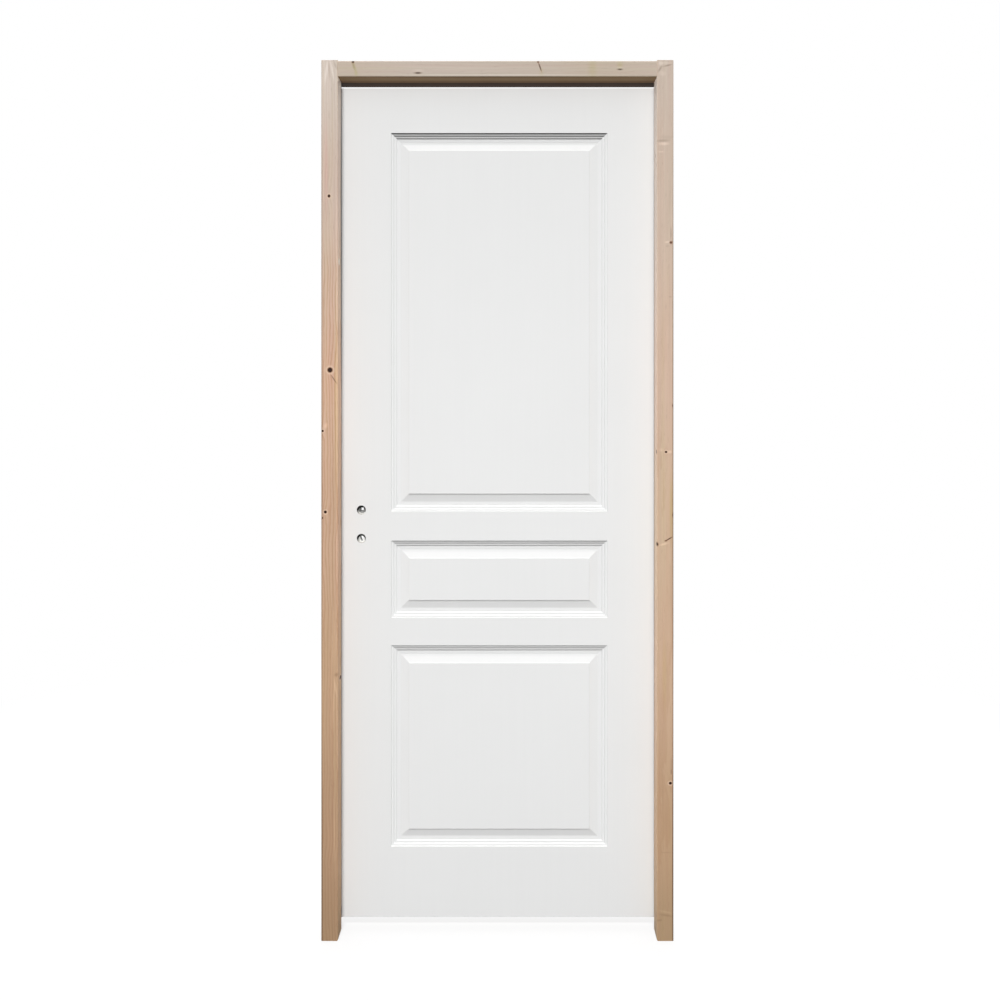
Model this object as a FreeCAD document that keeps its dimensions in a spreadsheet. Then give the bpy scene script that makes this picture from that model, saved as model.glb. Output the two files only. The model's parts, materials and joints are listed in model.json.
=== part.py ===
import FreeCAD, Part
import math
import os
from types import SimpleNamespace

import Sketcher

# Prehung interior door: a moulded three-panel leaf hung in a softwood frame whose stops form the rebate.
# Sizes are in millimetres, and +Z is up. The origin is on the hinge jamb's wall face, at the foot, mid-depth.
# The front, where the stop is, faces -Y. The leaf lies at the back and opens towards +Y.

SIZES = {
    # leaf
    "leaf_width": 780,
    "leaf_height": 2040,
    "leaf_thickness": 40,
    "floor_gap": 28,
    "head_gap": 12,
    "side_gap": 6.5,
    "stop_gap": 5,
    "stop_overlap": 6,
    # frame
    "frame_depth": 90,
    "jamb_face": 40,
    "head_height": 38,
    "head_rebate": 3,
    "jamb_horn": 2,
    "arris_radius": 2.5,
    "foot_chamfer": 2,
    "tenon_length": 24,
    "tenon_thickness": 20,
    "tenon_height": 22,
    # leaf construction
    "skin_thickness": 3.2,
    "stile_width": 35,
    "rail_width": 35,
    "lock_block_clearance": 14,
    "lock_block_margin": 92.5,
    # panels
    "panel_lock_margin": 127.5,
    "panel_hinge_margin": 120.5,
    "top_margin": 110,
    "upper_rail": 72,
    "middle_panel_height": 190,
    "lower_rail": 68,
    "bottom_panel_height": 495,
    "bottom_margin": 173.5,
    # moulding round each panel
    "groove_depth": 7.6,
    "quirk_depth": 2.8,
    "bead_width": 6,
    "bead_step": 1.5,
    "bead_radius": 6.5,
    "draft_width": 0.6,
    "groove_floor": 9.3,
    "bevel_width": 20,
    "field_step": 2.2,
    # lock
    "backset": 54,
    "handle_height": 1030,
    "lock_centres": 70,
    "lock_hole_radius": 11,
    "case_depth": 77,
    "case_end": 47.5,
    "case_thickness": 15,
    "case_wall": 3,
    "case_side": 1.2,
    "case_play": 0.5,
    "forend_rim": 4.7,
    "forend_end": 35,
    "forend_thickness": 3,
    "follower_radius": 9,
    "follower_play": 0.2,
    "spindle_size": 8,
    "keyhole_radius": 4.4,
    "keyhole_tip": 2.6,
    "keyhole_drop": 8,
    "latch_height": 26,
    "latch_bevel": 10,
    "dead_bolt_height": 34,
    "bolt_play": 0.3,
    "bolt_proud": 0.5,
    "strike_rim": 3,
    "strike_end": 50,
    "strike_thickness": 1.5,
    "strike_room": 2,
    "strike_pocket_depth": 14,
    # hinges
    "hinge_height": 100,
    "hinge_plate_width": 30,
    "hinge_plate_thickness": 2.5,
    "knuckle_radius": 7,
    "knuckle_clearance": 1,
    "pin_radius": 4,
    "pin_play": 0.15,
    "pin_end_play": 1,
    "knuckle_cap": 4,
    "washer_height": 2,
    "washer_play": 0.3,
    "hinge_top_inset": 200,
    "hinge_bottom_inset": 230,
}


class Length:
    """A length as a number, with the expression that ties it to the sheet."""

    def __init__(self, number, text):
        self.number = float(number)
        self.text = text

    @staticmethod
    def of(other):
        return other if isinstance(other, Length) else Length(other, repr(float(other)))

    def __add__(self, other):
        other = Length.of(other)
        return Length(self.number + other.number, f"({self.text} + {other.text})")

    def __sub__(self, other):
        other = Length.of(other)
        return Length(self.number - other.number, f"({self.text} - {other.text})")

    def __mul__(self, factor):
        return Length(self.number * factor, f"({self.text} * {factor})")

    def __truediv__(self, divisor):
        return Length(self.number / divisor, f"({self.text} / {divisor})")

    def __neg__(self):
        return self * -1

    def __radd__(self, other):
        return Length.of(other) + self

    def __rsub__(self, other):
        return Length.of(other) - self


doc = FreeCAD.newDocument("prehung_door")
sheet = doc.addObject("Spreadsheet::Sheet", "sizes")
for row, (size_name, size_value) in enumerate(SIZES.items(), start=1):
    sheet.set(f"A{row}", size_name)
    sheet.set(f"B{row}", str(size_value))
    sheet.setAlias(f"B{row}", size_name)
doc.recompute()
s = SimpleNamespace(**{key: Length(value, f"sizes.{key}") for key, value in SIZES.items()})
nodes = []
ZERO = Length.of(0)


def bind(item, name, length):
    item.setExpression(name, Length.of(length).text)


def place(item, x, y, z, rotation=None):
    """Put an object at a bound position, turned by a fixed rotation."""
    position = [Length.of(value) for value in (x, y, z)]
    base = FreeCAD.Vector(*[value.number for value in position])
    item.Placement = FreeCAD.Placement(base, rotation or FreeCAD.Rotation())
    for axis, value in zip("xyz", position):
        bind(item, f"Placement.Base.{axis}", value)


def node(item, name):
    """Name an object as one of the door's pieces."""
    item.Label = name
    nodes.append(item)
    return item


def box(name, low, high):
    """A block between two corners."""
    item = doc.addObject("Part::Box", name)
    low = [Length.of(value) for value in low]
    for side, start, end in zip(("Length", "Width", "Height"), low, high):
        bind(item, side, end - start)
    place(item, *low)
    return item


def cylinder(name, centre, radius, height, rotation=None):
    item = doc.addObject("Part::Cylinder", name)
    bind(item, "Radius", radius)
    bind(item, "Height", height)
    place(item, *centre, rotation)
    return item


def cut(name, base, tools):
    """The base with every tool taken out of it, one after another."""
    for number, tool in enumerate(tools, start=1):
        item = doc.addObject("Part::Cut", f"{name}_cut_{number}")
        item.Base = base
        item.Tool = tool
        base = item
    return base


def new_body(name):
    return doc.addObject("PartDesign::Body", name)


def new_sketch(body, plane, name, offset=ZERO):
    """A sketch on one of its body's own planes, moved along that plane's normal."""
    sketch = body.newObject("Sketcher::SketchObject", name)
    support = next(f for f in body.Origin.OriginFeatures if f.Role == plane)
    sketch.AttachmentSupport = [(support, "")]
    sketch.MapMode = "FlatFace"
    sketch.AttachmentOffset = FreeCAD.Placement(FreeCAD.Vector(0, 0, offset.number), FreeCAD.Rotation())
    bind(sketch, "AttachmentOffset.Base.z", offset)
    return sketch


def arc_between(start, end, radius, side):
    """The arc of a radius from start to end with its centre on the left (side 1) or the right (side -1)."""
    chord = end - start
    rise = math.sqrt(max(radius**2 - (chord.Length / 2) ** 2, 0.0))
    across = FreeCAD.Vector(-chord.y, chord.x, 0).normalize()
    centre = (start + end) / 2 + across * side * rise
    first, last = (start, end) if side > 0 else (end, start)
    angles = [math.atan2(point.y - centre.y, point.x - centre.x) for point in (first, last)]
    circle = Part.Circle(centre, FreeCAD.Vector(0, 0, 1), radius)
    return Part.ArcOfCircle(circle, angles[0], angles[1])


def outline(sketch, corners):
    """Close a loop through (x, y) corners. A third value, (radius, side), curves the edge leaving there."""
    points = [(Length.of(corner[0]), Length.of(corner[1])) for corner in corners]
    spots = [FreeCAD.Vector(x.number, y.number, 0) for x, y in points]
    ends = []
    for number, corner in enumerate(corners):
        start = spots[number]
        end = spots[(number + 1) % len(spots)]
        if len(corner) == 2:
            edge = sketch.addGeometry(Part.LineSegment(start, end))
            ends.append((edge, 1, 2))
            continue
        radius, side = corner[2]
        edge = sketch.addGeometry(arc_between(start, end, radius.number, side))
        ends.append((edge, 1, 2) if side > 0 else (edge, 2, 1))
        sketch.addConstraint(Sketcher.Constraint("Radius", edge, radius.number))
        sketch.setExpression(f"Constraints[{sketch.ConstraintCount - 1}]", radius.text)
    for number, (edge, start, _) in enumerate(ends):
        before, _, end = ends[number - 1]
        sketch.addConstraint(Sketcher.Constraint("Coincident", before, end, edge, start))
        for kind, length in zip(("DistanceX", "DistanceY"), points[number]):
            sketch.addConstraint(Sketcher.Constraint(kind, -1, 1, edge, start, length.number))
            sketch.setExpression(f"Constraints[{sketch.ConstraintCount - 1}]", length.text)


def rectangle(sketch, x0, y0, x1, y1):
    outline(sketch, [(x0, y0), (x1, y0), (x1, y1), (x0, y1)])


def circle(sketch, x, y, radius):
    x, y = Length.of(x), Length.of(y)
    centre = FreeCAD.Vector(x.number, y.number, 0)
    edge = sketch.addGeometry(Part.Circle(centre, FreeCAD.Vector(0, 0, 1), radius.number))
    for constraint, length in (
        (Sketcher.Constraint("Radius", edge, radius.number), radius),
        (Sketcher.Constraint("DistanceX", -1, 1, edge, 3, x.number), x),
        (Sketcher.Constraint("DistanceY", -1, 1, edge, 3, y.number), y),
    ):
        sketch.addConstraint(constraint)
        sketch.setExpression(f"Constraints[{sketch.ConstraintCount - 1}]", length.text)


def pad(body, sketch, length, midplane=False, reverse=False):
    feature = body.newObject("PartDesign::Pad", f"{sketch.Name}_pad")
    feature.Profile = sketch
    feature.Midplane = midplane
    feature.Reversed = reverse
    bind(feature, "Length", length)
    return feature


def pocket(body, sketch, length, midplane=False, reverse=False):
    feature = body.newObject("PartDesign::Pocket", f"{sketch.Name}_pocket")
    feature.Profile = sketch
    feature.Midplane = midplane
    feature.Reversed = reverse
    bind(feature, "Length", length)
    return feature


def pipe(kind, body, profile, spine):
    """Sweep a profile round a closed spine, with mitred corners."""
    feature = body.newObject(f"PartDesign::{kind}", f"{profile.Name}_sweep")
    feature.Profile = profile
    feature.Spine = (spine, [])
    feature.Transition = "Right corner"
    return feature


# Places that several pieces share
half_depth = s.frame_depth / 2
front = -half_depth
back = half_depth
leaf_front = back - s.leaf_thickness
stop_back = leaf_front - s.stop_gap
lining_thickness = s.jamb_face - s.side_gap - s.stop_overlap
clear_width = s.leaf_width - s.stop_overlap * 2
frame_width = clear_width + s.jamb_face * 2
leaf_hinge_edge = -(lining_thickness + s.side_gap)
leaf_lock_edge = leaf_hinge_edge - s.leaf_width
leaf_bottom = s.floor_gap
leaf_top = leaf_bottom + s.leaf_height
head_underside = leaf_top + s.head_gap
frame_height = head_underside + s.head_height + s.jamb_horn
leaf_middle = (leaf_front + back) / 2
core_front = leaf_front + s.skin_thickness
core_back = back - s.skin_thickness
axis_out = s.knuckle_radius + s.knuckle_clearance
axis_x = -lining_thickness - s.side_gap / 2
axis_y = back + axis_out
tenon_middle = (front + stop_back) / 2
tenon_bottom = head_underside + (s.head_height - s.tenon_height) / 2
hinge_middles = {
    "top": leaf_top - s.hinge_top_inset - s.hinge_height / 2,
    "middle": (leaf_top - s.hinge_top_inset + leaf_bottom + s.hinge_bottom_inset) / 2,
    "bottom": leaf_bottom + s.hinge_bottom_inset + s.hinge_height / 2,
}
knuckle_height = (s.hinge_height - s.washer_height - s.washer_play) / 2
key_height = s.handle_height - s.lock_centres
case_back = leaf_lock_edge + s.forend_thickness + s.case_depth
case_middle = (s.handle_height + key_height) / 2
case_height = s.lock_centres + s.case_end * 2
forend_height = case_height + s.forend_end * 2
strike_height = s.lock_centres + s.strike_end * 2
bolt_width = s.case_thickness - (s.case_side + s.bolt_play) * 2
forend_width = bolt_width + (s.bolt_play + s.forend_rim) * 2
strike_width = bolt_width + (s.strike_room + s.strike_rim) * 2
spindle_x = leaf_lock_edge + s.backset
strike_face = lining_thickness - frame_width
strike_back = strike_face - s.strike_thickness
latch_room = s.backset - s.forend_thickness - s.follower_radius - s.follower_play - s.case_wall


# Frame: two jambs, each a lining with a stop planted on it, and a rebated head housed between them
def jamb(side, outer_x, inward, tenon, lining_cuts):
    """A lining that runs the frame's full height and depth, and the stop along its front."""
    ease = s.arris_radius
    inner, joint = s.jamb_face * inward, lining_thickness * inward
    step = ease * inward
    curve = (ease, inward)
    lining = new_body(f"lining_{side}_body")
    section = new_sketch(lining, "XY_Plane", f"lining_{side}_section")
    outline(
        section,
        [
            (step, front),
            (joint, front),
            (joint, back - ease, curve),
            (joint - step, back),
            (step, back, curve),
            (ZERO, back - ease),
            (ZERO, front + ease, curve),
        ],
    )
    pad(lining, section, frame_height)
    place(lining, outer_x, ZERO, ZERO)
    node(cut(f"jamb_{side}", lining, [tenon] + lining_cuts), f"jamb_{side}_side")
    stop = new_body(f"stop_{side}_body")
    section = new_sketch(stop, "XY_Plane", f"stop_{side}_section")
    outline(
        section,
        [
            (joint, front),
            (inner - step, front, curve),
            (inner, front + ease),
            (inner, stop_back),
            (joint, stop_back),
        ],
    )
    pad(stop, section, frame_height)
    foot = new_sketch(stop, "XZ_Plane", f"stop_{side}_foot")
    chamfer = s.foot_chamfer * inward
    outline(foot, [(inner - chamfer, ZERO), (inner, ZERO), (inner, s.foot_chamfer)])
    pocket(stop, foot, s.frame_depth * 2, midplane=True)
    place(stop, outer_x, ZERO, ZERO)
    node(cut(f"stop_{side}", stop, [tenon]), f"stop_{side}_side")


def tenon_hole(name, inner_x, outward):
    """The mortise in a jamb's stop and lining for the head's tenon."""
    ends = sorted((inner_x, inner_x + s.tenon_length * outward), key=lambda end: end.number)
    low = (ends[0], tenon_middle - s.tenon_thickness / 2, tenon_bottom)
    high = (ends[1], tenon_middle + s.tenon_thickness / 2, tenon_bottom + s.tenon_height)
    return box(f"{name}_tenon_hole", low, high)


def head_rail():
    body = new_body("head_rail")
    ease = s.arris_radius
    curve = (ease, 1)
    stop = new_sketch(body, "YZ_Plane", "head_stop")
    outline(
        stop,
        [
            (front + ease, ZERO),
            (stop_back, ZERO),
            (stop_back, s.head_height),
            (front + ease, s.head_height, curve),
            (front, s.head_height - ease),
            (front, ease, curve),
        ],
    )
    pad(body, stop, clear_width, midplane=True)
    rear = new_sketch(body, "YZ_Plane", "head_rear")
    outline(
        rear,
        [
            (stop_back, s.head_rebate),
            (back - ease, s.head_rebate, curve),
            (back, s.head_rebate + ease),
            (back, s.head_height - ease, curve),
            (back - ease, s.head_height),
            (stop_back, s.head_height),
        ],
    )
    pad(body, rear, frame_width - lining_thickness * 2, midplane=True)
    tenon = new_sketch(body, "YZ_Plane", "head_tenon")
    lift = tenon_bottom - head_underside
    rectangle(
        tenon,
        tenon_middle - s.tenon_thickness / 2,
        lift,
        tenon_middle + s.tenon_thickness / 2,
        lift + s.tenon_height,
    )
    pad(body, tenon, clear_width + s.tenon_length * 2, midplane=True)
    place(body, -(frame_width / 2), ZERO, head_underside)
    node(body, "head_rail")


# Leaf: two moulded skins over a frame of stiles and rails, with a block for the lock
def moulding_points(edge_y):
    """The moulding's face from the panel's outer edge inwards: quirk, two beads, floor, bevel and step."""
    points = [(edge_y, ZERO)]
    across = edge_y + s.draft_width
    depth = -s.quirk_depth
    bead_fall = (s.groove_depth - s.quirk_depth) / 2 - s.bead_step
    for _ in range(2):
        points.append((across, depth, (s.bead_radius, -1)))
        across = across + s.bead_width
        depth = depth - bead_fall
        points.append((across, depth))
        across = across + s.draft_width
        depth = depth - s.bead_step
    floor_start = across
    points.append((floor_start, -s.groove_depth))
    floor_end = floor_start + s.groove_floor
    points.append((floor_end, -s.groove_depth))
    bevel_end = floor_end + s.bevel_width
    points.append((bevel_end, -s.field_step))
    points.append((bevel_end + s.draft_width, ZERO))
    return points, floor_start, floor_end, bevel_end + s.draft_width


def panel(body, name, low, height, left, right):
    """Press one panel's moulding into a skin: its wall is swept on behind, then its groove is swept out."""
    spine = new_sketch(body, "XY_Plane", f"{name}_spine")
    high = low + height
    outline(
        spine,
        [(ZERO, low), (right, low), (right, high), (left, high), (left, low)],
    )
    points, floor_start, floor_end, field_edge = moulding_points(low)
    wall = new_sketch(body, "YZ_Plane", f"{name}_wall")
    shoulder = s.skin_thickness / 2
    under = -s.groove_depth - s.skin_thickness
    outline(
        wall,
        [
            (low - shoulder, -shoulder),
            (low - shoulder, -s.skin_thickness),
            (floor_start - shoulder, under),
            (floor_end + shoulder, under),
            (field_edge + shoulder, -s.skin_thickness),
            (field_edge + shoulder, -shoulder),
        ],
    )
    pipe("AdditivePipe", body, wall, spine)
    groove = new_sketch(body, "YZ_Plane", f"{name}_groove")
    lip = s.skin_thickness
    outline(groove, [(low, lip)] + points + [(field_edge, lip)])
    pipe("SubtractivePipe", body, groove, spine)


def skin(name, lock_side, x, y, rotation):
    """A moulded skin lying face up about its middle line, then stood up on one side of the leaf."""
    body = new_body(name)
    half_width = s.leaf_width / 2
    lock_x = (half_width - s.backset) * lock_side
    near_lock = (half_width - s.panel_lock_margin) * lock_side
    near_hinges = (s.panel_hinge_margin - half_width) * lock_side
    left, right = (near_lock, near_hinges) if lock_side < 0 else (near_hinges, near_lock)
    sheet_sketch = new_sketch(body, "XY_Plane", f"{name}_sheet")
    rectangle(sheet_sketch, -half_width, ZERO, half_width, s.leaf_height)
    for height in (s.handle_height, key_height):
        circle(sheet_sketch, lock_x, height - leaf_bottom, s.lock_hole_radius)
    pad(body, sheet_sketch, s.skin_thickness, reverse=True)
    middle_panel = s.bottom_margin + s.bottom_panel_height + s.lower_rail
    top_panel = middle_panel + s.middle_panel_height + s.upper_rail
    panel(body, f"{name}_bottom", s.bottom_margin, s.bottom_panel_height, left, right)
    panel(body, f"{name}_middle", middle_panel, s.middle_panel_height, left, right)
    panel(body, f"{name}_top", top_panel, s.leaf_height - s.top_margin - top_panel, left, right)
    place(body, x, y, leaf_bottom, rotation)
    return body


def hinge_recess(name, middle):
    """The recess in the leaf's edge and back face for a hinge plate."""
    low = (leaf_hinge_edge - s.hinge_plate_thickness, back - s.hinge_plate_width, middle - s.hinge_height / 2)
    high = (leaf_hinge_edge, back, middle + s.hinge_height / 2)
    return box(name, low, high)


def hinge_recesses(name):
    return [hinge_recess(f"{name}_{where}_recess", middle) for where, middle in hinge_middles.items()]


def skins():
    upright = FreeCAD.Rotation(FreeCAD.Vector(1, 0, 0), 90)
    turned = FreeCAD.Rotation(FreeCAD.Vector(0, 0, 1), 180) * upright
    leaf_centre = (leaf_hinge_edge + leaf_lock_edge) / 2
    node(skin("skin_front", -1, leaf_centre, leaf_front, upright), "skin_front")
    blank = skin("skin_back_blank", 1, leaf_centre, back, turned)
    node(cut("skin_back", blank, hinge_recesses("skin_back")), "skin_back")


def lock_mortise(name):
    """The slot in the leaf's timber for the lock case."""
    low = (
        leaf_lock_edge,
        leaf_middle - s.case_thickness / 2 - s.case_play,
        case_middle - case_height / 2 - s.case_play,
    )
    high = (
        case_back + s.case_play,
        leaf_middle + s.case_thickness / 2 + s.case_play,
        case_middle + case_height / 2 + s.case_play,
    )
    return box(name, low, high)


def lock_holes(name):
    """The holes drilled through the leaf for the handle and the key."""
    along_y = FreeCAD.Rotation(FreeCAD.Vector(1, 0, 0), -90)
    holes = []
    for use, height in (("handle", s.handle_height), ("key", key_height)):
        start = (spindle_x, leaf_front, height)
        holes.append(cylinder(f"{name}_{use}_hole", start, s.lock_hole_radius, s.leaf_thickness, along_y))
    return holes


def leaf_timber():
    lock_stile_inner = leaf_lock_edge + s.stile_width
    hinge_stile_inner = leaf_hinge_edge - s.stile_width
    stile_low = (leaf_lock_edge, core_front, leaf_bottom)
    lock_stile = box("lock_stile_blank", stile_low, (lock_stile_inner, core_back, leaf_top))
    seat_low = (leaf_lock_edge, leaf_middle - forend_width / 2, case_middle - forend_height / 2)
    seat_high = (
        leaf_lock_edge + s.forend_thickness,
        leaf_middle + forend_width / 2,
        case_middle + forend_height / 2,
    )
    forend_seat = box("forend_seat", seat_low, seat_high)
    lock_cuts = [forend_seat, lock_mortise("stile_mortise")] + lock_holes("stile")
    node(cut("stile_lock", lock_stile, lock_cuts), "stile_lock")
    stile_low = (hinge_stile_inner, core_front, leaf_bottom)
    hinge_stile = box("hinge_stile_blank", stile_low, (leaf_hinge_edge, core_back, leaf_top))
    node(cut("stile_hinge", hinge_stile, hinge_recesses("stile_hinge")), "stile_hinge")
    rails = {"rail_bottom": leaf_bottom, "rail_top": leaf_top - s.rail_width}
    for name, low in rails.items():
        high = (hinge_stile_inner, core_back, low + s.rail_width)
        node(box(name, (lock_stile_inner, core_front, low), high), name)
    block = box(
        "lock_block_blank",
        (lock_stile_inner, core_front, case_middle - case_height / 2 - s.lock_block_margin),
        (
            leaf_lock_edge + s.panel_lock_margin - s.lock_block_clearance,
            core_back,
            case_middle + case_height / 2 + s.lock_block_margin,
        ),
    )
    node(cut("lock_block", block, [lock_mortise("block_mortise")] + lock_holes("block")), "lock_block")


# Lock: a mortise case behind a forend, with its latch and bolt drawn back
def lock_case():
    body = new_body("lock_case")
    low_z, high_z = -(case_height / 2), case_height / 2
    follower_z = s.handle_height - case_middle
    key_z = key_height - case_middle
    follower_x = s.backset - s.forend_thickness
    plate = new_sketch(body, "XZ_Plane", "case_side")
    rectangle(plate, ZERO, low_z, s.case_depth, high_z)
    circle(plate, follower_x, follower_z, s.follower_radius + s.follower_play)
    tip = s.keyhole_tip / 2
    outline(
        plate,
        [
            (follower_x + s.keyhole_radius, key_z, (s.keyhole_radius, 1)),
            (follower_x, key_z + s.keyhole_radius, (s.keyhole_radius, 1)),
            (follower_x - s.keyhole_radius, key_z),
            (follower_x - tip, key_z - s.keyhole_drop),
            (follower_x + tip, key_z - s.keyhole_drop),
        ],
    )
    pad(body, plate, s.case_thickness, midplane=True)
    for name, middle, height in (
        ("latch", follower_z, s.latch_height),
        ("bolt", key_z, s.dead_bolt_height),
    ):
        half_width = bolt_width / 2 + s.bolt_play
        half_height = height / 2 + s.bolt_play
        opening = new_sketch(body, "YZ_Plane", f"case_{name}_opening")
        rectangle(opening, -half_width, middle - half_height, half_width, middle + half_height)
        pocket(body, opening, latch_room, reverse=True)
    place(body, leaf_lock_edge + s.forend_thickness, leaf_middle, case_middle)
    node(body, "lock_case")


def lock_forend():
    body = new_body("lock_forend")
    face = new_sketch(body, "YZ_Plane", "forend_face")
    half_width, half_height = forend_width / 2, forend_height / 2
    rectangle(face, -half_width, -half_height, half_width, half_height)
    for middle, height in ((s.handle_height, s.latch_height), (key_height, s.dead_bolt_height)):
        half_opening = bolt_width / 2 + s.bolt_play
        reach = height / 2 + s.bolt_play
        offset = middle - case_middle
        rectangle(face, -half_opening, offset - reach, half_opening, offset + reach)
    pad(body, face, s.forend_thickness)
    place(body, leaf_lock_edge, leaf_middle, case_middle)
    node(body, "lock_forend")


def lock_bolts():
    nose = leaf_lock_edge - s.bolt_proud
    tail = leaf_lock_edge + s.forend_thickness + latch_room
    half_width = bolt_width / 2
    length = tail - nose
    body = new_body("latch_bolt")
    plan = new_sketch(body, "XY_Plane", "latch_plan")
    outline(
        plan,
        [(ZERO, half_width), (s.latch_bevel, -half_width), (length, -half_width), (length, half_width)],
    )
    pad(body, plan, s.latch_height, midplane=True)
    place(body, nose, leaf_middle, s.handle_height)
    node(body, "latch_bolt")
    half_height = s.dead_bolt_height / 2
    bolt = box(
        "dead_bolt",
        (nose, leaf_middle - half_width, key_height - half_height),
        (tail, leaf_middle + half_width, key_height + half_height),
    )
    node(bolt, "dead_bolt")


def spindle_follower():
    body = new_body("spindle_follower")
    face = new_sketch(body, "XZ_Plane", "follower_face")
    circle(face, ZERO, ZERO, s.follower_radius)
    half = s.spindle_size / 2
    rectangle(face, -half, -half, half, half)
    pad(body, face, s.case_thickness, midplane=True)
    place(body, spindle_x, leaf_middle, s.handle_height)
    node(body, "spindle_follower")


def strike_openings():
    """Each opening in the strike plate: its name, middle height and half height."""
    return (
        ("latch", s.handle_height, s.latch_height / 2 + s.strike_room),
        ("bolt", key_height, s.dead_bolt_height / 2 + s.strike_room),
    )


def strike_plate():
    body = new_body("strike_plate")
    face = new_sketch(body, "YZ_Plane", "strike_face")
    half_width, half_height = strike_width / 2, strike_height / 2
    rectangle(face, -half_width, -half_height, half_width, half_height)
    half_opening = bolt_width / 2 + s.strike_room
    for _, middle, reach in strike_openings():
        offset = middle - case_middle
        rectangle(face, -half_opening, offset - reach, half_opening, offset + reach)
    pad(body, face, s.strike_thickness)
    place(body, strike_back, leaf_middle, case_middle)
    node(body, "strike_plate")


def strike_cuts():
    """The seat for the strike plate in the lock jamb's lining, and a pocket behind each opening."""
    half_width, half_height = strike_width / 2, strike_height / 2
    cuts = [
        box(
            "strike_seat",
            (strike_back, leaf_middle - half_width, case_middle - half_height),
            (strike_face, leaf_middle + half_width, case_middle + half_height),
        )
    ]
    half_opening = bolt_width / 2 + s.strike_room
    for name, middle, reach in strike_openings():
        pocket_box = box(
            f"strike_{name}_pocket",
            (strike_back - s.strike_pocket_depth, leaf_middle - half_opening, middle - reach),
            (strike_back, leaf_middle + half_opening, middle + reach),
        )
        cuts.append(pocket_box)
    return cuts


# Hinges: a plate and knuckle on each side, with the pin fixed in the frame's half
def hinge_half(name, side, knuckle_low, middle):
    """A hinge plate with a neck that carries its knuckle: side 1 is the frame's half, and -1 the leaf's."""
    body = new_body(name)
    inner = s.side_gap / 2 * side
    outer = (s.side_gap / 2 + s.hinge_plate_thickness) * side
    plate = new_sketch(body, "XY_Plane", f"{name}_plate")
    rectangle(plate, inner, -(axis_out + s.hinge_plate_width), outer, -axis_out)
    pad(body, plate, s.hinge_height)
    neck = new_sketch(body, "XY_Plane", f"{name}_neck", knuckle_low)
    rectangle(neck, inner, -axis_out, outer, ZERO)
    pad(body, neck, knuckle_height)
    knuckle = new_sketch(body, "XY_Plane", f"{name}_knuckle", knuckle_low)
    circle(knuckle, ZERO, ZERO, s.knuckle_radius)
    pad(body, knuckle, knuckle_height)
    place(body, axis_x, axis_y, middle - s.hinge_height / 2)
    return body


def hinge(where, middle):
    frame_name, door_name = f"hinge_frame_{where}", f"hinge_door_{where}"
    frame_half = hinge_half(frame_name, 1, ZERO, middle)
    pin = new_sketch(frame_half, "XY_Plane", f"{frame_name}_pin", knuckle_height)
    circle(pin, ZERO, ZERO, s.pin_radius)
    pin_top = s.hinge_height - s.knuckle_cap - s.pin_end_play
    pad(frame_half, pin, pin_top - knuckle_height)
    node(frame_half, frame_name)
    door_low = s.hinge_height - knuckle_height
    door_half = hinge_half(door_name, -1, door_low, middle)
    bore = new_sketch(door_half, "XY_Plane", f"{door_name}_bore", door_low)
    circle(bore, ZERO, ZERO, s.pin_radius + s.pin_play)
    pocket(door_half, bore, knuckle_height - s.knuckle_cap, reverse=True)
    node(door_half, door_name)
    washer = new_body(f"hinge_washer_{where}")
    ring = new_sketch(washer, "XY_Plane", f"hinge_washer_{where}_ring")
    circle(ring, ZERO, ZERO, s.knuckle_radius)
    circle(ring, ZERO, ZERO, s.pin_radius + s.pin_play)
    pad(washer, ring, s.washer_height)
    place(washer, axis_x, axis_y, middle - s.hinge_height / 2 + knuckle_height)
    node(washer, f"hinge_washer_{where}")


def frame_hinge_seats():
    """The seat in the hinge jamb's lining for each hinge plate."""
    seats = []
    for where, middle in hinge_middles.items():
        low = (-lining_thickness, back - s.hinge_plate_width, middle - s.hinge_height / 2)
        high = (s.hinge_plate_thickness - lining_thickness, back, middle + s.hinge_height / 2)
        seats.append(box(f"jamb_{where}_hinge_seat", low, high))
    return seats


lock_tenon_hole = tenon_hole("lock", s.jamb_face - frame_width, -1)
hinge_tenon_hole = tenon_hole("hinge", -s.jamb_face, 1)
jamb("lock", -frame_width, 1, lock_tenon_hole, strike_cuts())
jamb("hinge", ZERO, -1, hinge_tenon_hole, frame_hinge_seats())
head_rail()
strike_plate()
skins()
leaf_timber()
lock_case()
lock_forend()
lock_bolts()
spindle_follower()
for hinge_name, hinge_middle in hinge_middles.items():
    hinge(hinge_name, hinge_middle)
doc.recompute()

for item in doc.Objects:
    if "Invalid" in item.State or "Error" in item.State:
        raise RuntimeError(f"{item.Label} didn't compute: {item.State}")
for item in nodes:
    if item.Shape.isNull() or not item.Shape.isValid():
        raise RuntimeError(f"{item.Label} has no valid shape")
    if len(item.Shape.Solids) != 1:
        raise RuntimeError(f"{item.Label} is {len(item.Shape.Solids)} solids")

os.makedirs("parts", exist_ok=True)
for item in nodes:
    item.Shape.exportStep(f"parts/{item.Label}.step")
    print(f"{item.Label}: {item.Shape.Volume / 1000:.1f} cm3")
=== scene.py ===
import json
import math

import bpy
from mathutils import Matrix, Vector

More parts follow.
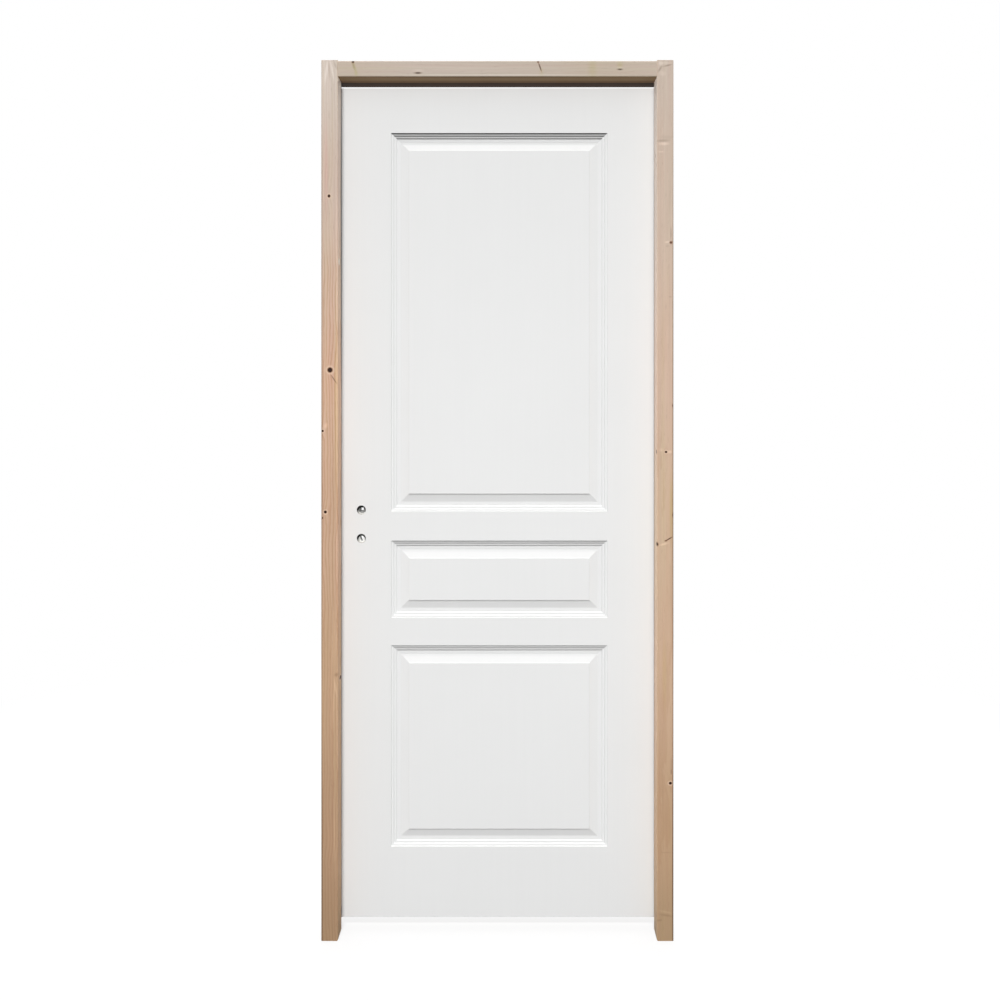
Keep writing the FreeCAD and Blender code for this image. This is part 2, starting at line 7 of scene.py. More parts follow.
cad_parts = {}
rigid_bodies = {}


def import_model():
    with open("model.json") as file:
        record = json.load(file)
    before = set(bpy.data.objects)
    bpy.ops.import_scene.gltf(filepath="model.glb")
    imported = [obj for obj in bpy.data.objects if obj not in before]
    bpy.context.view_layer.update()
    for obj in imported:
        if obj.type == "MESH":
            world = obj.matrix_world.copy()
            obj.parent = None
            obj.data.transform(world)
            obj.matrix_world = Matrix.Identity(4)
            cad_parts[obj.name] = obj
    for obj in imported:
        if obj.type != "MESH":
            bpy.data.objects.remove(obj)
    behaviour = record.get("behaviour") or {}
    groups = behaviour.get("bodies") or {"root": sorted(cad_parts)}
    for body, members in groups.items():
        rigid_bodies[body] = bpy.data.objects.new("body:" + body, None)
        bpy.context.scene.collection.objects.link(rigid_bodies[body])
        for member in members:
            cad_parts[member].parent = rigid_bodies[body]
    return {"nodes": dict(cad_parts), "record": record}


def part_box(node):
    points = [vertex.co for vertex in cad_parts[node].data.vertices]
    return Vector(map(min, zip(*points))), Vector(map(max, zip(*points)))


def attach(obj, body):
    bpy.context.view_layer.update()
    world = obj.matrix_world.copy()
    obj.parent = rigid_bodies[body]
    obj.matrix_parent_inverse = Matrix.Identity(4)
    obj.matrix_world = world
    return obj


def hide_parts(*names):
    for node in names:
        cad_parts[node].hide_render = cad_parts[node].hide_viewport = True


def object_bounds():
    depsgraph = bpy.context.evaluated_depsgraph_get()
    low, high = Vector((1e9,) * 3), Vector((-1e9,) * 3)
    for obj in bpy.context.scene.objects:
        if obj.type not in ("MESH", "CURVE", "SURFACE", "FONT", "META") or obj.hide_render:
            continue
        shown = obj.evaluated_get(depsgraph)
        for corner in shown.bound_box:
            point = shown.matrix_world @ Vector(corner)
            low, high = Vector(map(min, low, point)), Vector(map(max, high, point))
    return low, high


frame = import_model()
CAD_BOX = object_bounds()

bl_info = {
    "name": "Prehung interior door",
    "version": (1, 0, 0),
    "blender": (4, 5, 0),
    "location": "3D View > Sidebar > Door",
    "description": "Finishes a moulded three-panel door leaf hung in a raw pine frame",
    "category": "Object",
}

# Everything is in metres and in the door's own axes: +Z up, the stop side of the door towards -Y.

MM = 0.001
FRONT = CAD_BOX[0].y
HEIGHT = CAD_BOX[1].z
MOUNTS = {mount["name"]: Vector(mount["pos_m"]) for mount in frame["record"]["mounts"]}
HOLE_CENTRES = (MOUNTS["handle_hole_front"], MOUNTS["key_hole_front"])
HOLE_RADIUS = 11 * MM
LEAF_MIDDLE = 25 * MM
LEAF_HALF = 20 * MM

# The moulded panels, which have the same two sides: each one's top edge, and how dark the painted shade is
# below it
PANEL_LEFT = -686.5 * MM
PANEL_RIGHT = -154.5 * MM
PANEL_TOPS = ((1958.0 * MM, 0.83), (954.5 * MM, 0.4), (696.5 * MM, 0.38))

# The photograph's camera looks level and straight at the door, and its shift frames the whole height
CAMERA_PLACE = (-0.3792, -2.195, 1.35)
CAMERA_LENS = 32.17
CAMERA_SENSOR = 36.0
CAMERA_SHIFT = (-0.016, -0.12)

# The floor is a disc below the door. To the camera it is mostly white, and all white further out.
FLOOR_CENTRE = (-0.424, 0.0, 0.0)
FLOOR_RADIUS = 14.0
FLOOR_LEAST_WHITE = 0.75
FLOOR_FADE = (1.2, 2.6)
WHITE = (1.0, 1.0, 1.0, 1.0)

# Screws: how deep a head lies below the plate, how much wider its seat is, how far the screws stand from the
# middle of the forend and of the strike plate, and their places in a hinge plate, in millimetres
SCREW_INSET = 0.3 * MM
SCREW_SEAT_ROOM = 0.1 * MM
FOREND_SCREW_REACH = 103 * MM
STRIKE_SCREW_REACH = 73 * MM
HINGE_SCREWS = ((8, -38), (19, -13), (8, 13), (19, 38))


def srgb(red, green, blue):
    """A colour written as it shows on a screen, from 0 to 255, in Blender's linear values."""
    return tuple(
        value / 12.92 if value <= 0.04045 else ((value + 0.055) / 1.055) ** 2.4
        for value in (red / 255, green / 255, blue / 255)
    )


def greys(*stops):
    """The stops of a ramp that carries a number and no colour."""
    return [(at, (value,) * 3) for at, value in stops]


def in_metres(place):
    return tuple(value * MM for value in place)


class Shade:
    """The node tree of one material. Each call adds a node and gives back the socket that is used next."""

    def __init__(self, name):
        self.material = bpy.data.materials.new(name)
        self.material.use_nodes = True
        self.start(self.material.node_tree, "ShaderNodeOutputMaterial")
        self.place = self.add("ShaderNodeTexCoord").outputs["Object"]

    @classmethod
    def on(cls, tree, output):
        """A helper for a node tree that isn't a material's."""
        shade = cls.__new__(cls)
        shade.start(tree, output)
        return shade

    def start(self, tree, output):
        self.tree = tree
        tree.nodes.clear()
        self.output = tree.nodes.new(output)

    def add(self, kind, inputs=None, **settings):
        node = self.tree.nodes.new(kind)
        for key, value in settings.items():
            setattr(node, key, value)
        for key, value in (inputs or {}).items():
            if isinstance(value, bpy.types.NodeSocket):
                self.tree.links.new(value, node.inputs[key])
            else:
                node.inputs[key].default_value = value
        return node

    def math(self, operation, first, second=0.0):
        return self.add("ShaderNodeMath", {0: first, 1: second}, operation=operation).outputs[0]

    def product(self, first, *others):
        for other in others:
            first = self.math("MULTIPLY", first, other)
        return first

    def vector(self, operation, first, second=(0.0, 0.0, 0.0)):
        node = self.add("ShaderNodeVectorMath", {0: first, 1: second}, operation=operation)
        return node.outputs["Value" if operation in ("LENGTH", "DOT_PRODUCT") else "Vector"]

    def split(self, vector):
        return self.add("ShaderNodeSeparateXYZ", {0: vector}).outputs

    def join(self, x, y, z):
        return self.add("ShaderNodeCombineXYZ", {0: x, 1: y, 2: z}).outputs[0]

    def noise(self, vector, scale, detail, roughness, stretch=(1.0, 1.0, 1.0), output="Fac"):
        stretched = self.vector("MULTIPLY", vector, stretch)
        inputs = {"Vector": stretched, "Scale": scale, "Detail": detail, "Roughness": roughness}
        return self.add("ShaderNodeTexNoise", inputs).outputs[output]

    def between(self, value, start, end, first=0.0, last=1.0, **settings):
        """A number that goes from a first to a last value while another goes from its start to its end."""
        inputs = {0: value, 1: start, 2: end, 3: first, 4: last}
        return self.add("ShaderNodeMapRange", inputs, **settings).outputs[0]

    def swing(self, factor, amount, middle=1.0):
        """A number that swings by an amount about a middle value as a factor goes from 0.2 to 0.8."""
        return self.between(factor, 0.2, 0.8, middle - amount, middle + amount)

    def ramp(self, factor, stops, interpolation="LINEAR"):
        node = self.add("ShaderNodeValToRGB", {0: factor})
        node.color_ramp.interpolation = interpolation
        elements = node.color_ramp.elements
        while len(elements) < len(stops):
            elements.new(0.5)
        for element, (position, colour) in zip(elements, stops):
            element.position = position
            element.color = colour if len(colour) == 4 else (*colour, 1.0)
        return node

    def mix(self, factor, first, second, blend="MIX"):
        inputs = {0: factor, 6: first, 7: second}
        for key in (6, 7):
            if isinstance(inputs[key], tuple) and len(inputs[key]) == 3:
                inputs[key] = (*inputs[key], 1.0)
        node = self.add("ShaderNodeMix", inputs, data_type="RGBA", blend_type=blend)
        return node.outputs[2]

    def scale(self, colour, amount):
        """A colour made lighter or darker by a number."""
        return self.mix(1.0, colour, self.join(amount, amount, amount), blend="MULTIPLY")

    def reach(self, centre, half, tilt=0.0):
        """How far a point is from a spot's centre, where 1 is the spot's edge. The tilt is about Y."""
        node = self.add(
            "ShaderNodeMapping",
            {"Vector": self.place, "Location": centre, "Rotation": (0.0, tilt, 0.0), "Scale": half},
            vector_type="TEXTURE",
        )
        return self.vector("LENGTH", node.outputs[0])

    def normal(self):
        return self.add("ShaderNodeTexCoord").outputs["Normal"]

    def seen(self):
        """1 for what the camera, a reflection or a clear part shows, and 0 for the light on the door."""
        path = self.add("ShaderNodeLightPath").outputs
        seen = self.math("MAXIMUM", path["Is Camera Ray"], path["Is Transmission Ray"])
        return self.math("MAXIMUM", seen, path["Is Glossy Ray"])

    def bump(self, height, distance, strength):
        inputs = {"Height": height, "Distance": distance, "Strength": strength}
        return self.add("ShaderNodeBump", inputs).outputs[0]

    def give(self, shader):
        """Send a shader to the tree's output."""
        self.tree.links.new(shader.outputs[0], self.output.inputs[0])

    def finish(self, colour, **inputs):
        self.give(self.add("ShaderNodeBsdfPrincipled", {"Base Color": colour, **inputs}))
        return self.material


# Marks that cover the wood, from the middle (0) to the edge of the mark (1): colour and cover. Some dark
# lines are painted shadow in the gaps beside the leaf and painted shade along the outer edges
INKS = {
    "pin": (
        (0.0, (0.016, 0.005, 0.003, 1.0)),
        (0.38, (0.022, 0.008, 0.004, 1.0)),
        (0.50, (0.35, 0.17, 0.09, 0.8)),
        (0.62, (0.80, 0.62, 0.48, 0.6)),
        (1.0, (0.76, 0.56, 0.42, 0.0)),
    ),
    "red_knot": (
        (0.0, (0.07, 0.022, 0.012, 1.0)),
        (0.45, (0.16, 0.07, 0.04, 0.9)),
        (0.7, (0.4, 0.25, 0.17, 0.5)),
        (1.0, (0.5, 0.35, 0.25, 0.0)),
    ),
    "eye": (
        (0.0, (0.07, 0.045, 0.032, 1.0)),
        (0.3, (0.10, 0.068, 0.05, 0.9)),
        (0.6, (0.3, 0.23, 0.17, 0.55)),
        (1.0, (0.42, 0.34, 0.27, 0.0)),
    ),
    "crack": (
        (0.0, (0.03, 0.012, 0.006, 1.0)),
        (0.5, (0.08, 0.035, 0.018, 0.85)),
        (0.75, (0.45, 0.26, 0.16, 0.4)),
        (1.0, (0.6, 0.4, 0.27, 0.0)),
    ),
    "line": (
        (0.0, (0.03, 0.018, 0.01, 0.9)),
        (0.6, (0.06, 0.035, 0.02, 0.75)),
        (1.0, (0.2, 0.12, 0.07, 0.0)),
    ),
    "chip": (
        (0.0, (0.90, 0.80, 0.70, 1.0)),
        (0.6, (0.86, 0.74, 0.62, 0.9)),
        (1.0, (0.7, 0.55, 0.42, 0.0)),
    ),
}
DENTED = {"pin": 1.2, "red_knot": 1.0, "eye": 0.8, "crack": 1.8, "line": 0.8, "chip": 1.6}

# The growth rings bend round a knot that is more than this many millimetres wide to each side. The bend
# reaches this many times as far as the knot, across the face and up it.
KNOTS = ("pin", "eye", "red_knot")
LEAST_KNOT = 5
KNOT_BEND = {"Z": (2.4, 6), "X": (4, 4)}

# Marks that only tint the wood they lie on. Most are the wood's own streaks; some pale and shade marks
# are painted highlights and painted shade lines along edges
TINTS = {
    "pale": (1.23, 1.27, 1.31),
    "shade": (0.7, 0.67, 0.64),
    "olive": (0.93, 0.95, 0.76),
    "rose": (1.04, 0.92, 0.91),
}

# Each mark on the frame has its kind, its centre, its half width across and up the face, its tilt in degrees
# and its strength. Lengths are in millimetres. A third half width says how deep the mark goes into the wood,
# where that isn't the usual depth. A mark centred further behind the front than FRONT_REACH lies on the side
# towards the leaf.
MARK_DEPTH = 12
FRONT_REACH = 4
LOCK_JAMB_MARKS = (
    # Painted highlight along the lock jamb's inner front edge
    ("pale", (-810.5, -45, 1060), (2.2, 1100), 0, 0.7),
    ("rose", (-836, -45, 1850), (9, 170), 0, 0.8),
    ("rose", (-826, -45, 1480), (30, 260), 0, 0.45),
    ("olive", (-812, -45, 1300), (7, 420), 0, 0.7),
    ("olive", (-812, -30, 60), (12, 190), 0, 0.7),
    ("pale", (-835, -45, 2095), (5, 46), 8, 0.8),
    ("pale", (-822, -45, 2098), (4, 40), -10, 0.8),
    ("shade", (-829, -45, 2098), (4, 40), -4, 0.5),
    ("shade", (-813, -45, 2106), (5, 16), -25, 0.6),
    ("pin", (-829.1, -45, 1792.7), (7, 8), 0, 1),
    ("shade", (-808, -22, 1690), (8, 34), 0, 0.7),
    ("chip", (-808, -27, 1637), (17, 11), 12, 1),
    ("crack", (-808, -5, 1640), (8, 15), 0, 1),
    # Painted shadow on the reveal, in the gap beside the leaf
    ("line", (-808, 0, 1760), (12, 470), 0, 1),
    ("line", (-808, 0, 1720), (10, 560), 0, 1),
    ("line", (-808, 0, 700), (8, 700), 0, 0.5),
    ("pin", (-826.7, -45, 1374.1), (13, 13), 0, 1),
    ("crack", (-817.5, -45, 1352), (2.4, 19), -34, 0.55),
    ("pin", (-844.5, -45, 1227.3), (6, 6), 0, 1),
    ("pale", (-836.5, -45, 1240), (7, 12), 20, 1),
    ("pin", (-837.8, -45, 1032.4), (7.5, 7.5), 0, 1),
    ("crack", (-845, -45, 1018), (3, 4), 0, 1),
    ("pale", (-818, -45, 720), (5, 120), 0, 0.5),
    ("pin", (-808, -13, 624), (18, 9), 0, 1),
    ("shade", (-811, -45, 641), (8, 7), -25, 0.9),
    ("pale", (-814, -45, 610), (4, 30), -8, 0.9),
    ("pale", (-819, -45, 560), (3, 90), 2, 0.8),
    ("shade", (-808, -25, 560), (12, 90), 0, 0.5),
    ("pale", (-816, -45, 250), (3, 120), 0, 0.6),
    # Partly painted shade where the rounded outer edge turns from the light, and partly dirt
    ("line", (-847, -45, 150), (4.2, 480, 4), 0, 0.6),
    ("line", (-847.5, -45, 1200), (4.2, 1200, 4), 0, 0.4),
    # Painted shadow in the gap beside the leaf, at the foot
    ("line", (-808, -1.5, 47), (5, 17), 0, 1),
)
HINGE_JAMB_MARKS = (
    ("shade", (-14, -45, 2107), (17, 3.2), -14, 1),
    ("shade", (-33, -45, 2098), (4, 15), 32, 0.9),
    ("pale", (-31, -45, 2112), (9, 8), 20, 0.9),
    ("pale", (-18, -45, 2113), (16, 5), 0, 0.5),
    ("pale", (-27, -45, 2088), (12, 10), 20, 0.5),
    ("shade", (-26, -45, 1926), (24, 5), -2, 0.7),
    ("shade", (-18, -45, 1934), (24, 8), 0, 0.25),
    ("pale", (-24, -45, 1918.5), (19, 6), 0, 1),
    ("pale", (-30, -45, 1899), (11, 3), 0, 0.7),
    ("shade", (-40, -20, 1895), (8, 8), 0, 0.8),
    ("red_knot", (-6.3, -45, 1680.8), (5.5, 5.5), 0, 1),
    ("line", (-6.3, -45, 1703), (1.7, 20), 0, 0.35),
    ("pale", (-15, -45, 1682), (9, 4), -8, 1),
    ("shade", (-15, -45, 1672), (7, 4), 0, 0.35),
    ("shade", (-8, -45, 1550), (6, 2.5), 0, 0.5),
    ("crack", (-2, -45, 1288.6), (3, 6), 0, 0.7),
    ("pin", (-18.3, -45, 1176.8), (6.5, 5.5), 0, 1),
    ("pale", (-9, -45, 1177), (8, 6), 0, 1),
    ("pale", (-30, -45, 1182), (10, 6), 0, 0.5),
    ("crack", (-40, -38, 1177), (7, 8), 0, 0.9),
    ("olive", (-5, -45, 1040), (7, 120), 0, 0.9),
    ("crack", (-0.8, -44, 1025), (4, 9), 0, 0.9),
    ("crack", (-18, -45, 963.5), (6, 3), -20, 1),
    ("crack", (-10.5, -45, 968), (14, 2.4), -30, 0.9),
    ("pale", (-24, -45, 955), (17, 4), -14, 1),
    ("crack", (-39.5, -44, 955), (5, 7), -20, 1),
    ("olive", (-22, -45, 640), (9, 130), 0, 0.6),
    ("pin", (-7.7, -45, 379.9), (8, 7), 0, 1),
    ("line", (-5.8, -45, 407), (1.6, 9), 0, 0.6),
    ("line", (-5.8, -45, 425), (1.4, 24), 0, 0.3),
    # Partly painted shade where the rounded outer edge turns from the light, and partly dirt
    ("line", (-0.2, -45, 150), (3.8, 440, 4), 0, 1),
    ("line", (-0.4, -45, 1000), (2.9, 1300, 4), 0, 0.75),
    # Painted shadow on the reveal, in the gap beside the leaf
    ("line", (-40, 0, 1100), (9, 1150), 0, 0.6),
    ("shade", (-18, -45, 213), (18, 3), 0, 0.3),
    ("shade", (-18, -45, 62), (26, 4), 10, 0.5),
    ("pale", (-18, -45, 70), (26, 4), 12, 0.5),
    ("shade", (-34, -45, 50), (9, 4), -10, 0.6),
)
HEAD_MARKS = (
    # Painted highlight along the head's lower front edge, and a painted shade line just below it
    ("pale", (-424, -45, 2084), (440, 2.6), 0, 0.9),
    ("shade", (-424, -44, 2080), (440, 1.5), 0, 1),
    ("crack", (-771.4, -45, 2115.5), (5, 5), 0, 1),
    ("olive", (-769, -45, 2105), (7, 18), -18, 1),
    ("shade", (-770, -45, 2106), (4, 16), -18, 0.7),
    ("olive", (-764, -45, 2089), (7, 14), -10, 1),
    ("eye", (-615.0, -45, 2088.8), (15, 4), 0, 1),
    ("pale", (-615, -45, 2094), (22, 6), 0, 0.5),
    ("crack", (-326, -45, 2115.5), (4, 4), 0, 1),
    ("crack", (-321.5, -45, 2103), (2.6, 17), -19, 0.85),
    ("olive", (-318, -45, 2090), (9, 18), 0, 0.5),
    ("olive", (-195, -45, 2100), (16, 40), 0, 0.7),
    ("shade", (-191, -45, 2118), (16, 3), 0, 0.5),
    ("eye", (-129.0, -45, 2097.4), (11, 3.4), 0, 1),
    ("olive", (-129, -45, 2108), (12, 14), 0, 0.8),
    ("pale", (-129, -45, 2102), (10, 3), 0, 0.7),
    ("shade", (-36, -45, 2085), (7, 12), 30, 0.5),
)

# How the painted shade under a panel's top edge comes and goes over the first stretch of its moulding
MOULDING_PAINTED_SHADE_LENGTH = 30 * MM
PAINTED_SHADE_UNDER_TOP_EDGE = greys(
    (0.0, 1.0),
    (0.085, 1.0),
    (0.1, 0.45),
    (0.22, 0.45),
    (0.25, 0.74),
    (0.31, 0.7),
    (0.33, 0.0),
    (0.36, 0.0),
    (0.372, 0.92),
    (0.42, 0.92),
    (0.437, 0.0),
    (0.6, 0.13),
    (0.85, 0.18),
    (1.0, 0.0),
)

# Factors on the colour of raw pine: in the dark half of a ring, and on an edge rounded by the plane
LATEWOOD = (0.81, 0.71, 0.63)
ARRIS = (1.2, 1.17, 1.12)

# Colours of resin ducts, of end grain, of the painted shade and the pale paint on a drilled hole's wall,
# and of the painted shade in and round the lock
RESIN = (0.2, 0.11, 0.06)
END_GRAIN = (0.3, 0.19, 0.11)
HOLE_PAINTED_SHADE = (0.02, 0.019, 0.018)
HOLE_PAINT_LIT_FROM_ABOVE = srgb(216, 214, 208)
LOCK_PAINTED_SHADE = (0.012, 0.012, 0.011)

# How the frame's colour drifts along each timber, from the foot up or from left to right
LOCK_JAMB_TONES = (
    (0.0, srgb(168, 138, 109)),
    (0.12, srgb(180, 148, 119)),
    (0.31, srgb(193, 161, 131)),
    (0.48, srgb(201, 168, 143)),
    (0.62, srgb(211, 178, 154)),
    (0.73, srgb(209, 184, 164)),
    (0.86, srgb(206, 186, 172)),
    (1.0, srgb(215, 202, 191)),
)
HINGE_JAMB_TONES = (
    (0.0, srgb(172, 144, 114)),
    (0.12, srgb(186, 154, 124)),
    (0.31, srgb(201, 170, 144)),
    (0.48, srgb(203, 177, 151)),
    (0.65, srgb(207, 180, 160)),
    (0.86, srgb(203, 184, 167)),
    (1.0, srgb(203, 187, 173)),
)
HEAD_TONES = (
    (0.0, srgb(196, 181, 166)),
    (0.3, srgb(196, 183, 171)),
    (0.6, srgb(194, 181, 168)),
    (0.8, srgb(193, 179, 163)),
    (1.0, srgb(197, 182, 168)),
)


def growth_rings(shade, grain, along, grown, marks):
    """How far into the dark latewood of its ring each point lies. The rings bend round the knots."""
    length = shade.split(grain)[2]
    drift = shade.vector("MULTIPLY", shade.join(length, length, length), (*grown["lean"], 0.0))
    wander = shade.noise(grain, 1.0, 2.0, 0.55, (3.0, 3.0, grown["wave"]), "Color")
    wander = shade.vector("SUBTRACT", wander, (0.5, 0.5, 0.5))
    wander = shade.vector("MULTIPLY", wander, (grown["wander"], grown["wander"], 0.0))
    spoke = shade.vector("MULTIPLY", grain, (1.0, 1.0, 0.0))
    spoke = shade.vector("SUBTRACT", spoke, (*grown["pith"], 0.0))
    radius = shade.vector("LENGTH", shade.vector("ADD", shade.vector("ADD", spoke, drift), wander))
    ripple = shade.noise(grain, 1.0, 3.0, 0.6, (50.0, 50.0, 9.0))
    radius = shade.math("ADD", radius, shade.swing(ripple, grown["ring"] * 0.45, 0.0))
    across, up = KNOT_BEND[along]
    for kind, centre, half, _, _ in marks:
        if kind in KNOTS and half[0] > LEAST_KNOT:
            near = shade.reach(in_metres(centre), (half[0] * across * MM, 30 * MM, half[1] * up * MM))
            bend = shade.math("MAXIMUM", shade.math("SUBTRACT", 1.0, near), 0.0)
            radius = shade.math("ADD", radius, shade.product(bend, bend, 7 * MM))
    rings = shade.math("FRACT", shade.math("DIVIDE", radius, grown["ring"]))
    darkening = greys((0.0, 0.0), (0.45, 0.15), (0.78, 0.85), (0.9, 1.0), (1.0, 0.0))
    return shade.ramp(rings, darkening).outputs[0]


def mark_wood(shade, colour, height, marks):
    """Lay the knots, pins, cracks and tints on the wood, and dent it where they cover it."""
    for kind, centre, half, tilt, strength in marks:
        across, up, depth = (*half, MARK_DEPTH)[:3]
        on_front = abs(centre[1] - FRONT / MM) <= FRONT_REACH
        size = (across, depth, up) if on_front else (MARK_DEPTH, across, up)
        reach = shade.reach(in_metres(centre), in_metres(size), math.radians(tilt))
        if kind in TINTS:
            cover = shade.between(reach, 0.1, 1.0, strength, 0.0, interpolation_type="SMOOTHSTEP")
            colour = shade.mix(cover, colour, TINTS[kind], "MULTIPLY")
            continue
        ink = shade.ramp(reach, INKS[kind])
        cover = shade.math("MULTIPLY", ink.outputs["Alpha"], strength)
        colour = shade.mix(cover, colour, ink.outputs["Color"])
        height = shade.math("SUBTRACT", height, shade.math("MULTIPLY", cover, DENTED[kind]))
    return colour, height


def pine(name, along, span, grown, tones, marks=(), faces=(), drilled=False):
    """Raw pine. Its fibres run along one axis, its rings lie round a leaning pith, and its tone drifts.

    Each of the faces has its direction, the depths it lies between, and a factor on the colour there:
    painted light on a reveal, and painted shade on an underside."""
    shade = Shade(name)
    x, y, z = shade.split(shade.place)
    grain = shade.place if along == "Z" else shade.join(z, y, x)
    place_along = shade.between(shade.split(grain)[2], *span)
    broad = shade.noise(grain, 1.0, 3.0, 0.6, (60.0, 60.0, 1.5))
    streak = shade.noise(grain, 1.0, 3.0, 0.6, (230.0, 230.0, 2.6))
    fibre = shade.noise(grain, 1.0, 3.0, 0.65, (650.0, 650.0, 8.0))
    warmth = shade.noise(grain, 1.0, 2.0, 0.5, (120.0, 120.0, 2.0))
    ducts = shade.noise(grain, 1.0, 1.0, 0.5, (900.0, 900.0, 45.0))

    colour = shade.ramp(place_along, tones, "EASE").outputs[0]
    for spread, amount in ((broad, 0.04), (streak, grown["streak"]), (fibre, 0.05)):
        colour = shade.scale(colour, shade.swing(spread, amount))
    rose_to_olive = ((0.3, (1.0, 0.965, 0.96)), (0.5, (1.0, 1.0, 1.0)), (0.7, (0.985, 1.0, 0.95)))
    colour = shade.mix(1.0, colour, shade.ramp(warmth, rose_to_olive).outputs[0], "MULTIPLY")
    late = growth_rings(shade, grain, along, grown, marks)
    strength = shade.ramp(place_along, greys(*grown["strength"])).outputs[0]
    colour = shade.mix(shade.math("MULTIPLY", late, strength), colour, LATEWOOD, "MULTIPLY")
    ducts = shade.ramp(ducts, greys((0.68, 0.0), (0.76, 0.25))).outputs[0]
    colour = shade.mix(ducts, colour, RESIN)

    normal = shade.normal()
    square = shade.split(shade.vector("ABSOLUTE", normal))
    squareness = shade.math("MAXIMUM", shade.math("MAXIMUM", square[0], square[1]), square[2])
    arris = shade.between(squareness, 0.98, 0.8)
    colour = shade.mix(shade.math("MULTIPLY", arris, 0.7), colour, ARRIS, "MULTIPLY")
    ends = shade.math("GREATER_THAN", square["XYZ".index(along)], 0.8)
    colour = shade.mix(shade.math("MULTIPLY", ends, 0.45), colour, END_GRAIN)
    # Painted light and painted shade, by the way each face turns
    for facing, near, far, tint in faces:
        turned = shade.math("GREATER_THAN", shade.vector("DOT_PRODUCT", normal, facing), 0.8)
        cover = shade.product(turned, shade.math("GREATER_THAN", y, near), shade.math("LESS_THAN", y, far))
        colour = shade.mix(cover, colour, tint, "MULTIPLY")
    # Painted shade on the walls of the drilled holes, pale where they face up
    if drilled:
        colour = hole_walls_with_painted_shade(shade, colour)
    height = shade.math("ADD", shade.math("MULTIPLY", late, 0.35), shade.math("MULTIPLY", fibre, 0.5))
    colour, height = mark_wood(shade, colour, height, marks)
    return shade.finish(
        colour,
        Roughness=shade.swing(fibre, 0.06, 0.7),
        Normal=shade.bump(height, 0.25 * MM, 0.55),
        **{"Specular IOR Level": 0.25},
    )


def hole_walls_with_painted_shade(shade, tone):
    """Painted shade in the drilled holes' walls, with pale paint, lit as if from above, where the walls face
    up.
    """
    lit = shade.between(shade.split(shade.normal())[2], 0.1, 0.6)
    wall = shade.mix(lit, HOLE_PAINTED_SHADE, HOLE_PAINT_LIT_FROM_ABOVE)
    radius = HOLE_RADIUS + 0.15 * MM
    for centre in HOLE_CENTRES:
        reach = shade.reach(tuple(centre), (radius, 10.0, radius))
        tone = shade.mix(shade.math("LESS_THAN", reach, 1.0), tone, wall)
    return tone


def painted_shade_under_mouldings(shade, tone):
    """Painted shade in the moulding below the top edge of each panel, as a light from above would cast it.
    """
    x, y, z = shade.split(shade.place)
    depth = shade.math("ABSOLUTE", shade.math("SUBTRACT", y, LEAF_MIDDLE))
    sunk = shade.math("LESS_THAN", depth, LEAF_HALF - 0.3 * MM)
    across = shade.math("ABSOLUTE", shade.math("SUBTRACT", x, (PANEL_LEFT + PANEL_RIGHT) / 2))
    aside = shade.math("SUBTRACT", (PANEL_RIGHT - PANEL_LEFT) / 2, across)
    for top, strength in PANEL_TOPS:
        drop = shade.math("SUBTRACT", top, z)
        below = shade.math("GREATER_THAN", drop, -0.2 * MM)
        within = shade.product(shade.math("GREATER_THAN", aside, drop), sunk, below)
        dark = shade.ramp(shade.math("DIVIDE", drop, MOULDING_PAINTED_SHADE_LENGTH), PAINTED_SHADE_UNDER_TOP_EDGE).outputs[0]
        tone = shade.scale(tone, shade.math("SUBTRACT", 1.0, shade.product(dark, strength, within)))
    return tone


def paint(name, colour):
    """Satin white primer on pressed board."""
    shade = Shade(name)
    cloud = shade.noise(shade.place, 3.2, 3.0, 0.55)
    stipple = shade.noise(shade.place, 620.0, 2.0, 0.5)
    sweep = shade.noise(shade.place, 1.0, 3.0, 0.6, (150.0, 150.0, 3.0))
    tone = shade.scale((*colour, 1.0), shade.swing(cloud, 0.012))
    tone = shade.scale(tone, shade.swing(sweep, 0.006))
    height = shade.math("ADD", shade.math("MULTIPLY", stipple, 0.6), shade.math("MULTIPLY", sweep, 0.4))
    # The primer carries painted shade under the panels' top edges and in the drilled holes
    return shade.finish(
        hole_walls_with_painted_shade(shade, painted_shade_under_mouldings(shade, tone)),
        Roughness=shade.swing(stipple, 0.04, 0.55),
        Normal=shade.bump(height, 0.06 * MM, 0.5),
        **{"Specular IOR Level": 0.2},
    )


def painted_shade_in_holes(shade, tone, depths):
    """Painted shade in a part of the lock, and painted shadow on its face under the rim of the leaf's holes.
    """
    y = shade.split(shade.place)[1]
    deep = shade.math("GREATER_THAN", y, depths[0] + 0.4 * MM)
    deep = shade.math("MULTIPLY", deep, shade.math("LESS_THAN", y, depths[1] - 0.4 * MM))
    for centre in HOLE_CENTRES:
        lit_patch = centre + Vector((-1.0, 0.0, -4.8)) * MM
        rim_shadow = shade.between(shade.reach(tuple(lit_patch), (8.7 * MM, 10.0, 8.7 * MM)), 0.93, 1.07)
        near = shade.reach(tuple(centre), (HOLE_RADIUS * 1.2, 10.0, HOLE_RADIUS * 1.2))
        near = shade.math("LESS_THAN", near, 1.0)
        cover = shade.math("MULTIPLY", shade.math("MAXIMUM", rim_shadow, deep), near)
        tone = shade.mix(cover, tone, LOCK_PAINTED_SHADE)
    return tone


